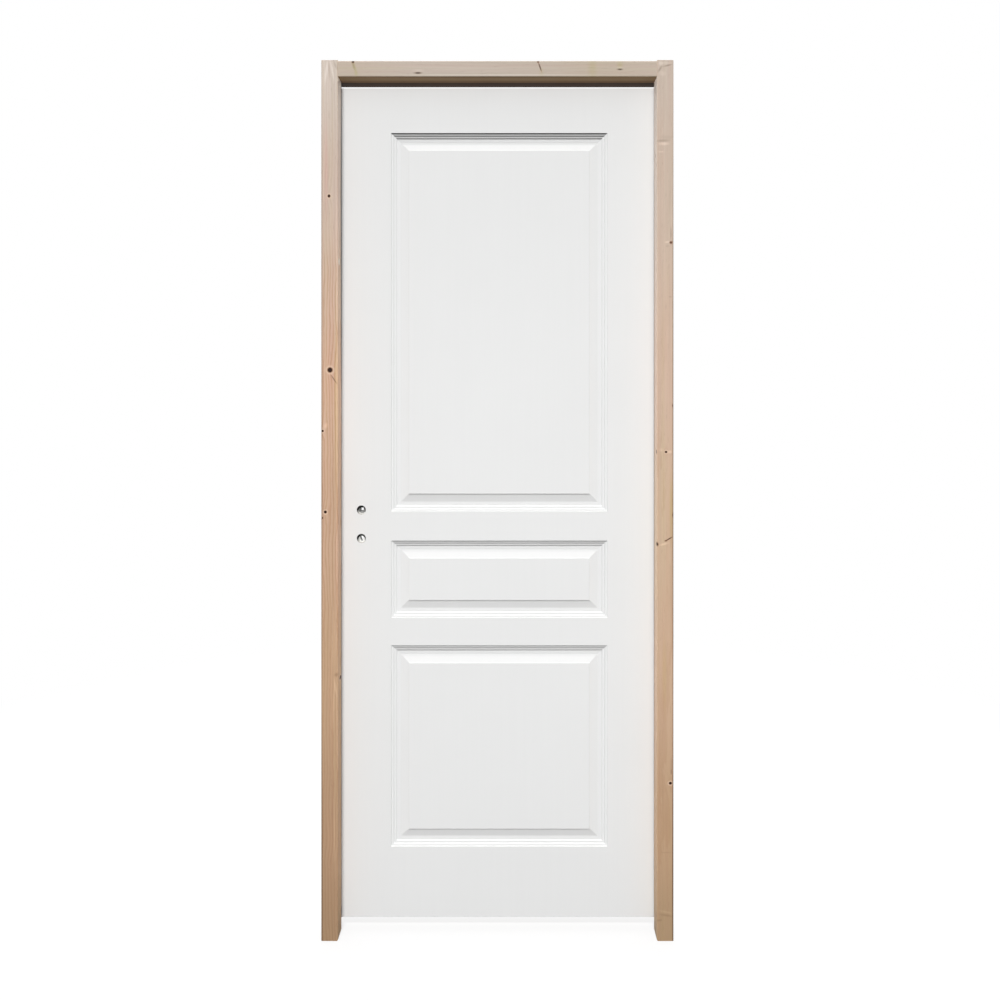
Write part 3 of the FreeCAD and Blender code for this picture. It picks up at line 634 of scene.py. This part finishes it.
def painted_shade_at_keyhole(shade, tone, centre):
    """A painted-shade triangle round the keyhole, from its tip below the hole's centre to its top above it.
    """
    x, _, z = shade.split(shade.vector("SUBTRACT", shade.place, tuple(centre)))
    half = shade.math("MULTIPLY", shade.math("ADD", z, 6.8 * MM), 0.5)
    keyhole_shade = shade.math("LESS_THAN", shade.math("ABSOLUTE", shade.math("ADD", x, 0.7 * MM)), half)
    keyhole_shade = shade.math("MULTIPLY", keyhole_shade, shade.math("LESS_THAN", z, 3.2 * MM))
    return shade.mix(shade.math("MULTIPLY", keyhole_shade, 0.96), tone, LOCK_PAINTED_SHADE)


def metal(name, colour, roughness, grain=(1.0, 1.0, 1.0), metallic=1.0, depths=None, keyhole=None):
    """Plated or bare metal with fine brushing, faint clouding and small scuffs.

    A part that shows in the leaf's holes has its depths, and has painted shade between them."""
    shade = Shade(name)
    brushed = shade.noise(shade.place, 1500.0, 2.0, 0.6, grain)
    cloud = shade.noise(shade.place, 60.0, 3.0, 0.6)
    scuff = shade.noise(shade.place, 420.0, 4.0, 0.7)
    tone = shade.scale((*colour, 1.0), shade.swing(cloud, 0.07))
    tone = shade.scale(tone, shade.swing(brushed, 0.05))
    # Painted shade in the leaf's holes and round the keyhole
    if depths:
        tone = painted_shade_in_holes(shade, tone, depths)
    if keyhole:
        tone = painted_shade_at_keyhole(shade, tone, keyhole)
    rough = shade.math("ADD", shade.swing(scuff, 0.09, roughness), shade.swing(brushed, 0.05, 0.0))
    return shade.finish(
        tone,
        Metallic=metallic,
        Roughness=rough,
        Normal=shade.bump(brushed, 0.03 * MM, 0.5),
    )


def select_only(*pieces):
    """Leave only these pieces selected, with the first one active."""
    if bpy.context.object and bpy.context.object.mode != "OBJECT":
        bpy.ops.object.mode_set(mode="OBJECT")
    bpy.ops.object.select_all(action="DESELECT")
    for piece in pieces:
        piece.select_set(True)
    bpy.context.view_layer.objects.active = pieces[0]


def apply_modifier(piece, kind, **settings):
    select_only(piece)
    modifier = piece.modifiers.new(kind.lower(), kind)
    for key, value in settings.items():
        setattr(modifier, key, value)
    bpy.ops.object.modifier_apply(modifier=modifier.name)


def node_body(node):
    return next(body for body, nodes in frame["record"]["behaviour"]["bodies"].items() if node in nodes)


def merged_copy(node):
    """A copy of a CAD node's mesh with its loose triangles joined and its flat faces made whole."""
    mesh = frame["nodes"][node].data.copy()
    piece = bpy.data.objects.new(f"{node}_finished", mesh)
    bpy.context.scene.collection.objects.link(piece)
    select_only(piece)
    if mesh.has_custom_normals:
        bpy.ops.mesh.customdata_custom_splitnormals_clear()
    mesh.materials.clear()
    bpy.ops.object.mode_set(mode="EDIT")
    bpy.ops.mesh.select_all(action="SELECT")
    bpy.ops.mesh.remove_doubles(threshold=0.000002)
    bpy.ops.mesh.dissolve_limited(angle_limit=math.radians(0.6))
    bpy.ops.object.mode_set(mode="OBJECT")
    return piece


def ease_edges(piece, width):
    """Round a piece's sharp edges a little, as sanding or plating does."""
    apply_modifier(
        piece,
        "BEVEL",
        width=width,
        segments=2,
        limit_method="ANGLE",
        angle_limit=math.radians(28),
        harden_normals=False,
        use_clamp_overlap=True,
        miter_outer="MITER_SHARP",
    )


def finish_piece(piece, material, body, nodes=(), smooth=35.0):
    """Shade a piece, give it its material, attach it to the body it moves with and hide the CAD nodes it
    replaces.
    """
    select_only(piece)
    bpy.ops.object.shade_smooth_by_angle(angle=math.radians(smooth))
    apply_modifier(piece, "WEIGHTED_NORMAL", keep_sharp=True, weight=100)
    piece.data.materials.clear()
    piece.data.materials.append(material)
    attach(piece, body)
    if nodes:
        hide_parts(*nodes)


def dress_node(node, material, ease, cuts=None, smooth=35.0):
    """Replace a CAD node by a merged copy with eased edges and a full material."""
    piece = merged_copy(node)
    if cuts:
        select_only(*cuts)
        bpy.ops.object.join()
        apply_modifier(piece, "BOOLEAN", operation="DIFFERENCE", object=cuts[0], solver="EXACT")
        bpy.data.objects.remove(cuts[0])
    if ease:
        ease_edges(piece, ease)
    finish_piece(piece, material, node_body(node), [node], smooth)


def turned_to(facing):
    """The turn that brings a part made facing up round to face another way."""
    return Vector((0, 0, 1)).rotation_difference(Vector(facing)).to_matrix().to_4x4()


def apply_place(piece):
    """Put a piece's place into its mesh, so that its object sits at the origin."""
    select_only(piece)
    bpy.ops.object.transform_apply(location=True, rotation=True, scale=True)


def screw_seat(place, facing, radius):
    """A cone that cuts a countersink where a screw goes."""
    bpy.ops.object.select_all(action="DESELECT")
    bpy.ops.mesh.primitive_cone_add(
        vertices=40, radius1=radius * 0.72, radius2=radius * 1.32, depth=1.6 * MM
    )
    seat = bpy.context.object
    seat.matrix_world = Matrix.Translation(place) @ turned_to(facing)
    apply_place(seat)
    return seat


def screw_head(name, place, facing, radius, turn, material, body):
    """The head of a countersunk screw, slightly domed and with a cross recess."""
    deep = 0.9 * MM
    bpy.ops.object.select_all(action="DESELECT")
    bpy.ops.mesh.primitive_cylinder_add(vertices=40, radius=radius, depth=deep, location=(0, 0, -deep / 2))
    head = bpy.context.object
    head.name = name
    apply_place(head)
    bpy.ops.object.mode_set(mode="EDIT")
    bpy.ops.mesh.select_all(action="DESELECT")
    bpy.ops.object.mode_set(mode="OBJECT")
    for face in head.data.polygons:
        face.select = face.normal.z > 0.9
    bpy.ops.object.mode_set(mode="EDIT")
    bpy.ops.mesh.inset(thickness=radius * 0.12)
    bpy.ops.transform.translate(value=(0, 0, 0.12 * MM))
    bpy.ops.mesh.inset(thickness=radius * 0.3)
    bpy.ops.transform.translate(value=(0, 0, 0.06 * MM))
    bpy.ops.object.mode_set(mode="OBJECT")
    for angle in (turn, turn + 90):
        bpy.ops.object.select_all(action="DESELECT")
        bpy.ops.mesh.primitive_cube_add(size=1.0, location=(0, 0, 0.05 * MM))
        slot = bpy.context.object
        slot.scale = (radius * 1.15, radius * 0.24, 1.1 * MM)
        slot.rotation_euler = (0, 0, math.radians(angle))
        apply_place(slot)
        apply_modifier(head, "BOOLEAN", operation="DIFFERENCE", object=slot, solver="EXACT")
        bpy.data.objects.remove(slot)
    head.matrix_world = Matrix.Translation(place) @ turned_to(facing)
    apply_place(head)
    finish_piece(head, material, body, smooth=30.0)


def screw_down(node, name, material, ease, places, facing, radius, turn):
    """Finish a plate and sink a screw into it at each place, each screw turned further than the last."""
    cuts = [screw_seat(place, facing, radius + SCREW_SEAT_ROOM) for place in places]
    dress_node(node, material, ease, cuts)
    body = node_body(node)
    for number, place in enumerate(places, start=1):
        inset = place - Vector(facing) * SCREW_INSET
        screw_head(f"{name}_screw_{number}", inset, facing, radius, turn * number, material, body)


class DoorFinish(bpy.types.PropertyGroup):
    paint: bpy.props.FloatVectorProperty(
        name="Leaf paint",
        description="Colour of the primed leaf",
        subtype="COLOR",
        size=3,
        min=0.0,
        max=1.0,
        default=(0.80, 0.803, 0.80),
    )
    steel: bpy.props.FloatVectorProperty(
        name="Zinc steel",
        description="Colour of the lock, the hinges and the strike plate",
        subtype="COLOR",
        size=3,
        min=0.0,
        max=1.0,
        default=(0.66, 0.665, 0.66),
    )
    lock_case: bpy.props.FloatVectorProperty(
        name="Lock case",
        description="Colour of the dull steel inside the leaf",
        subtype="COLOR",
        size=3,
        min=0.0,
        max=1.0,
        default=(0.86, 0.86, 0.84),
    )
    brass: bpy.props.FloatVectorProperty(
        name="Brass",
        description="Colour of the hinge washers",
        subtype="COLOR",
        size=3,
        min=0.0,
        max=1.0,
        default=(0.76, 0.56, 0.25),
    )
    ring: bpy.props.FloatProperty(
        name="Ring spacing",
        description="Distance from one growth ring to the next in the frame's pine",
        subtype="DISTANCE",
        unit="LENGTH",
        min=0.001,
        max=0.02,
        default=0.0043,
    )
    timber_ease: bpy.props.FloatProperty(
        name="Timber edges",
        description="Width of the eased edges on the frame",
        subtype="DISTANCE",
        unit="LENGTH",
        min=0.0,
        max=0.003,
        default=0.0006,
    )
    metal_ease: bpy.props.FloatProperty(
        name="Metal edges",
        description="Width of the eased edges on the lock and the hinges",
        subtype="DISTANCE",
        unit="LENGTH",
        min=0.0,
        max=0.001,
        default=0.00025,
    )
    skin_ease: bpy.props.FloatProperty(
        name="Moulding edges",
        description="Width of the eased edges on the leaf's moulded skins",
        subtype="DISTANCE",
        unit="LENGTH",
        min=0.0,
        max=0.001,
        default=0.00012,
    )


class DoorStage(bpy.types.PropertyGroup):
    sun: bpy.props.FloatProperty(
        name="Key light",
        description="Strength of the soft light from above the front",
        min=0.0,
        default=2.45,
    )
    sun_height: bpy.props.FloatProperty(
        name="Key height",
        description="Height of the soft light above the horizon",
        subtype="ANGLE",
        unit="ROTATION",
        default=math.radians(50),
    )
    sun_side: bpy.props.FloatProperty(
        name="Key side",
        description="How far the soft light stands to the left of the door",
        subtype="ANGLE",
        unit="ROTATION",
        default=math.radians(3),
    )
    sun_spread: bpy.props.FloatProperty(
        name="Key spread",
        description="Angle that the soft light fills",
        subtype="ANGLE",
        unit="ROTATION",
        default=math.radians(8),
    )
    sky: bpy.props.FloatProperty(
        name="Fill light",
        description="Strength of the even light from all round",
        min=0.0,
        default=0.4,
    )
    sky_behind: bpy.props.FloatProperty(
        name="Back light",
        description="Strength that the light from above the back has on top of the even light",
        min=0.0,
        default=0.6,
    )
    fill: bpy.props.FloatProperty(
        name="Front light",
        description="Power of the large soft light in front of the middle of the door",
        subtype="POWER",
        min=0.0,
        default=12.2,
    )
    rear: bpy.props.FloatProperty(
        name="Rear light",
        description="Power of the large soft light high behind the door",
        subtype="POWER",
        min=0.0,
        default=60.0,
    )
    floor: bpy.props.FloatVectorProperty(
        name="Floor",
        description="Colour of the floor",
        subtype="COLOR",
        size=3,
        min=0.0,
        max=1.0,
        default=(0.86, 0.86, 0.86),
    )
    bounce: bpy.props.FloatProperty(
        name="Floor bounce",
        description="Share of the light that the floor throws back on the door",
        min=0.0,
        max=1.0,
        default=0.18,
    )


class DOOR_OT_leaf_faces(bpy.types.Operator):
    """Finish the leaf's two moulded skins in white primer"""

    bl_idname = "door.leaf_faces"
    bl_label = "Leaf faces"

    def execute(self, context):
        finish = context.scene.door_finish
        white = paint("white_primer", tuple(finish.paint))
        for node in ("skin_front", "skin_back"):
            dress_node(node, white, finish.skin_ease, smooth=13.0)
        return {"FINISHED"}


class DOOR_OT_leaf_timber(bpy.types.Operator):
    """Finish the timber that shows on the leaf's edges and in its holes"""

    bl_idname = "door.leaf_timber"
    bl_label = "Leaf timber"

    def execute(self, context):
        tones = (
            (0.0, srgb(196, 163, 124)),
            (0.35, srgb(205, 174, 136)),
            (0.7, srgb(199, 167, 130)),
            (1.0, srgb(207, 178, 142)),
        )
        low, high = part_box("stile_lock")
        spans = {"Z": (low.z, high.z), "X": (-0.85, 0.0)}
        ease = context.scene.door_finish.timber_ease
        for node, along, pith, lean in (
            ("stile_lock", "Z", (-0.80, 0.12), (0.0, 0.012)),
            ("stile_hinge", "Z", (-0.05, -0.07), (0.0, -0.01)),
            ("rail_top", "X", (2.1, 0.09), (0.01, 0.0)),
            ("rail_bottom", "X", (0.0, 0.11), (0.0, 0.01)),
            ("lock_block", "Z", (-0.72, 0.14), (0.0, 0.0)),
        ):
            grown = {
                "pith": pith,
                "lean": lean,
                "ring": 4.2 * MM,
                "wander": 0.02,
                "wave": 1.7,
                "streak": 0.05,
                "strength": ((0.0, 0.6), (1.0, 0.75)),
            }
            # The lock block's drilled holes get painted shade on their walls
            drilled = node == "lock_block"
            material = pine(f"{node}_timber", along, spans[along], grown, tones, drilled=drilled)
            dress_node(node, material, ease)
        return {"FINISHED"}


class DOOR_OT_frame_timber(bpy.types.Operator):
    """Finish the jambs, their stops and the head in raw pine"""

    bl_idname = "door.frame_timber"
    bl_label = "Frame timber"

    def execute(self, context):
        finish = context.scene.door_finish
        lock_pine = pine(
            "lock_jamb_pine",
            "Z",
            (0.0, HEIGHT),
            {
                "pith": (-0.925, 0.015),
                "lean": (0.004, 0.006),
                "ring": finish.ring * 1.5,
                "wander": 0.018,
                "wave": 4.0,
                "streak": 0.055,
                "strength": (
                    (0.0, 0.5),
                    (0.3, 0.6),
                    (0.5, 0.85),
                    (0.6, 1.0),
                    (0.76, 1.0),
                    (0.8, 0.35),
                    (1.0, 0.3),
                ),
            },
            LOCK_JAMB_TONES,
            LOCK_JAMB_MARKS,
            # Painted light: the reveal that faces the opening is made lighter
            [((1, 0, 0), -0.05, -0.0005, (1.36, 1.38, 1.4))],
        )
        hinge_pine = pine(
            "hinge_jamb_pine",
            "Z",
            (0.0, HEIGHT),
            {
                "pith": (-0.03, -0.15),
                "lean": (0.006, -0.01),
                "ring": finish.ring * 1.6,
                "wander": 0.02,
                "wave": 1.7,
                "streak": 0.025,
                "strength": ((0.0, 0.25), (0.4, 0.35), (0.52, 0.3), (0.6, 0.12), (1.0, 0.12)),
            },
            HINGE_JAMB_TONES,
            HINGE_JAMB_MARKS,
            # Painted light: the reveal that faces the opening is made lighter
            [((-1, 0, 0), -0.05, -0.0005, (1.68, 1.8, 1.95))],
        )
        low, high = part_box("head_rail")
        head_pine = pine(
            "head_pine",
            "X",
            (low.x, high.x),
            {
                "pith": (2.02, -0.12),
                "lean": (0.0, 0.01),
                "ring": finish.ring * 1.6,
                "wander": 0.03,
                "wave": 1.7,
                "streak": 0.02,
                "strength": ((0.0, 0.15), (1.0, 0.15)),
            },
            HEAD_TONES,
            HEAD_MARKS,
            # Painted shade on the head's underside, darker towards the back, and nearly black on the rebate
            # behind the stop
            [
                ((0, 0, -1), -0.05, -0.016, (0.44, 0.335, 0.2)),
                ((0, 0, -1), -0.016, 0.0, (0.30, 0.215, 0.128)),
                ((0, 0, -1), 0.0, 0.06, (0.055, 0.03, 0.013)),
            ],
        )
        for node, material in (
            ("jamb_lock_side", lock_pine),
            ("stop_lock_side", lock_pine),
            ("jamb_hinge_side", hinge_pine),
            ("stop_hinge_side", hinge_pine),
            ("head_rail", head_pine),
        ):
            dress_node(node, material, finish.timber_ease)
        return {"FINISHED"}


class DOOR_OT_mortise_lock(bpy.types.Operator):
    """Finish the lock case, its forend, the bolts and the follower, and screw the forend down"""

    bl_idname = "door.mortise_lock"
    bl_label = "Mortise lock"

    def execute(self, context):
        finish = context.scene.door_finish
        along, up = (0.05, 1.0, 1.0), (1.0, 1.0, 0.04)
        steel = metal("lock_steel", tuple(finish.steel), 0.34, along)
        dull = tuple(finish.lock_case)
        # The follower is a darker copy of the case's steel: painted shade for its recessed hub
        dark = tuple(value * 0.32 for value in dull)
        depths = [corner.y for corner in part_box("lock_case")]
        case = metal("lock_case_steel", dull, 0.55, along, 0.5, depths, HOLE_CENTRES[1])
        depths = [corner.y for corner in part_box("spindle_follower")]
        hub = metal("follower_steel", dark, 0.6, metallic=0.5, depths=depths)
        plate = metal("forend_steel", tuple(finish.steel), 0.3, up)
        for node, material in (
            ("lock_case", case),
            ("spindle_follower", hub),
            ("latch_bolt", steel),
            ("dead_bolt", steel),
        ):
            dress_node(node, material, finish.metal_ease)
        low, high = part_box("lock_forend")
        middle = (low + high) / 2
        places = [Vector((low.x, middle.y, middle.z + side * FOREND_SCREW_REACH)) for side in (-1, 1)]
        screw_down("lock_forend", "forend", plate, finish.metal_ease, places, (-1, 0, 0), 3.5 * MM, 20)
        return {"FINISHED"}


class DOOR_OT_strike_plate(bpy.types.Operator):
    """Finish the strike plate and screw it to the lock jamb"""

    bl_idname = "door.strike_plate"
    bl_label = "Strike plate"

    def execute(self, context):
        finish = context.scene.door_finish
        plate = metal("strike_steel", tuple(finish.steel), 0.32, (1.0, 1.0, 0.04))
        low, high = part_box("strike_plate")
        middle = (low + high) / 2
        places = [Vector((high.x, middle.y, middle.z + side * STRIKE_SCREW_REACH)) for side in (-1, 1)]
        screw_down("strike_plate", "strike", plate, finish.metal_ease, places, (1, 0, 0), 3.3 * MM, 35)
        return {"FINISHED"}


class DOOR_OT_hinges(bpy.types.Operator):
    """Finish the three hinges and their washers, and put the screws in their plates"""

    bl_idname = "door.hinges"
    bl_label = "Hinges"

    def execute(self, context):
        finish = context.scene.door_finish
        steel = metal("hinge_steel", tuple(finish.steel), 0.3, (1.0, 1.0, 0.06))
        brass = metal("washer_brass", tuple(finish.brass), 0.28)
        plates = (
            ("frame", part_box("jamb_hinge_side")[0].x, (-1, 0, 0)),
            ("door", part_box("stile_hinge")[1].x, (1, 0, 0)),
        )
        for where in ("top", "middle", "bottom"):
            dress_node(f"hinge_washer_{where}", brass, finish.metal_ease)
            for half, face, facing in plates:
                node = f"hinge_{half}_{where}"
                low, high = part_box(node)
                middle = (low.z + high.z) / 2
                places = [
                    Vector((face, low.y + across * MM, middle + up * MM)) for across, up in HINGE_SCREWS
                ]
                screw_down(node, node, steel, finish.metal_ease, places, facing, 3.9 * MM, 27)
        return {"FINISHED"}


class DOOR_OT_stage(bpy.types.Operator):
    """Make the camera, the floor, the soft light and the white surroundings"""

    bl_idname = "door.stage"
    bl_label = "Camera, floor and light"

    def execute(self, context):
        stage = context.scene.door_stage
        camera = bpy.data.cameras.new("camera")
        camera.lens = CAMERA_LENS
        camera.sensor_width = CAMERA_SENSOR
        camera.shift_x, camera.shift_y = CAMERA_SHIFT
        camera.clip_start = 0.05
        camera.clip_end = 100.0
        level = (math.radians(90), 0, 0)
        context.scene.camera = self.stand("camera", camera, CAMERA_PLACE, level)

        sun = bpy.data.lights.new("key_light", "SUN")
        sun.energy = stage.sun
        sun.angle = stage.sun_spread
        lamp = self.stand("key_light", sun, (0, 0, 0), (level[0] - stage.sun_height, 0, -stage.sun_side))
        # The head throws no shadow of the key light on the leaf, because it throws none in the photograph
        casters = bpy.data.collections.new("key_light_casters")
        for piece in context.scene.objects:
            if piece.type == "MESH" and not piece.name.startswith("head_rail"):
                casters.objects.link(piece)
        lamp.light_linking.blocker_collection = casters

        # The two soft lights: their power, their width, their place and their tilt in degrees
        for name, power, size, place, tilt in (
            ("front_light", stage.fill, 1.4, (-0.42, -2.3, 1.15), 90),
            ("rear_light", stage.rear, 2.2, (-0.42, 3.2, 2.9), -60),
        ):
            soft = bpy.data.lights.new(name, "AREA")
            soft.energy = power
            soft.size = size
            lamp = self.stand(name, soft, place, (math.radians(tilt), 0, 0))
            lamp.visible_camera = False

        bpy.ops.object.select_all(action="DESELECT")
        bpy.ops.mesh.primitive_circle_add(
            vertices=96, radius=FLOOR_RADIUS, fill_type="NGON", location=FLOOR_CENTRE
        )
        floor = context.object
        floor.name = "floor"
        apply_place(floor)
        floor.data.materials.append(self.floor_material(tuple(stage.floor), stage.bounce))

        world = bpy.data.worlds.new("surroundings")
        context.scene.world = world
        world.use_nodes = True
        self.surround(world.node_tree, stage.sky, stage.sky_behind)
        context.scene.view_settings.view_transform = "Standard"
        return {"FINISHED"}

    def stand(self, name, data, place, turn):
        """A camera or a lamp at its place."""
        thing = bpy.data.objects.new(name, data)
        thing.location = place
        thing.rotation_euler = turn
        bpy.context.scene.collection.objects.link(thing)
        return thing

    def surround(self, tree, sky, behind):
        """Even light from all round, more from above the back, and plain white where it is seen."""
        shade = Shade.on(tree, "ShaderNodeOutputWorld")
        direction = shade.add("ShaderNodeTexCoord").outputs["Generated"]
        away, up = shade.split(direction)[1:3]
        back = shade.between(away, 0.0, 0.4)
        high = shade.between(up, 0.1, 0.6)
        low = shade.math("MULTIPLY", back, shade.math("SUBTRACT", 1.0, high))
        even = shade.swing(shade.math("SUBTRACT", 1.0, low), 0.45, 0.55)
        strength = shade.math("ADD", shade.math("MULTIPLY", even, sky), shade.product(back, high, behind))
        light = shade.add("ShaderNodeBackground", {"Color": WHITE, "Strength": strength})
        white = shade.add("ShaderNodeBackground", {"Color": WHITE, "Strength": 1.0})
        parts = {0: shade.seen(), 1: light.outputs[0], 2: white.outputs[0]}
        shade.give(shade.add("ShaderNodeMixShader", parts))

    def floor_material(self, colour, bounce):
        """A pale floor that keeps the door's shadow and turns plain white away from it."""
        shade = Shade("pale_floor")
        grain = shade.noise(shade.place, 40.0, 3.0, 0.6)
        tone = shade.scale((*colour, 1.0), shade.swing(grain, 0.008))
        seen = shade.seen()
        matt = shade.add("ShaderNodeBsdfDiffuse", {"Color": shade.mix(seen, (bounce,) * 3, tone)})
        white = shade.add("ShaderNodeEmission", {"Color": WHITE, "Strength": 1.0})
        away = shade.vector("LENGTH", shade.vector("SUBTRACT", shade.place, FLOOR_CENTRE))
        far = shade.between(away, *FLOOR_FADE, interpolation_type="SMOOTHSTEP")
        cover = shade.math("MULTIPLY", shade.math("MAXIMUM", far, FLOOR_LEAST_WHITE), seen)
        parts = {0: cover, 1: matt.outputs[0], 2: white.outputs[0]}
        shade.give(shade.add("ShaderNodeMixShader", parts))
        return shade.material


class DOOR_PT_parts(bpy.types.Panel):
    """The door's pieces and finishes"""

    bl_idname = "DOOR_PT_parts"
    bl_label = "Prehung door"
    bl_space_type = "VIEW_3D"
    bl_region_type = "UI"
    bl_category = "Door"

    def draw(self, context):
        for operator in OPERATORS:
            self.layout.operator(operator.bl_idname)
        for group in (context.scene.door_finish, context.scene.door_stage):
            for key in group.__annotations__:
                self.layout.prop(group, key)


OPERATORS = (
    DOOR_OT_leaf_faces,
    DOOR_OT_leaf_timber,
    DOOR_OT_frame_timber,
    DOOR_OT_mortise_lock,
    DOOR_OT_strike_plate,
    DOOR_OT_hinges,
    DOOR_OT_stage,
)
CLASSES = (DoorFinish, DoorStage, *OPERATORS, DOOR_PT_parts)


def register():
    for item in CLASSES:
        bpy.utils.register_class(item)
    bpy.types.Scene.door_finish = bpy.props.PointerProperty(type=DoorFinish)
    bpy.types.Scene.door_stage = bpy.props.PointerProperty(type=DoorStage)


def unregister():
    del bpy.types.Scene.door_stage
    del bpy.types.Scene.door_finish
    for item in reversed(CLASSES):
        bpy.utils.unregister_class(item)


def main():
    register()
    for operator in OPERATORS:
        name = operator.bl_idname.split(".")[1]
        getattr(bpy.ops.door, name)()


if __name__ == "__main__":
    main()
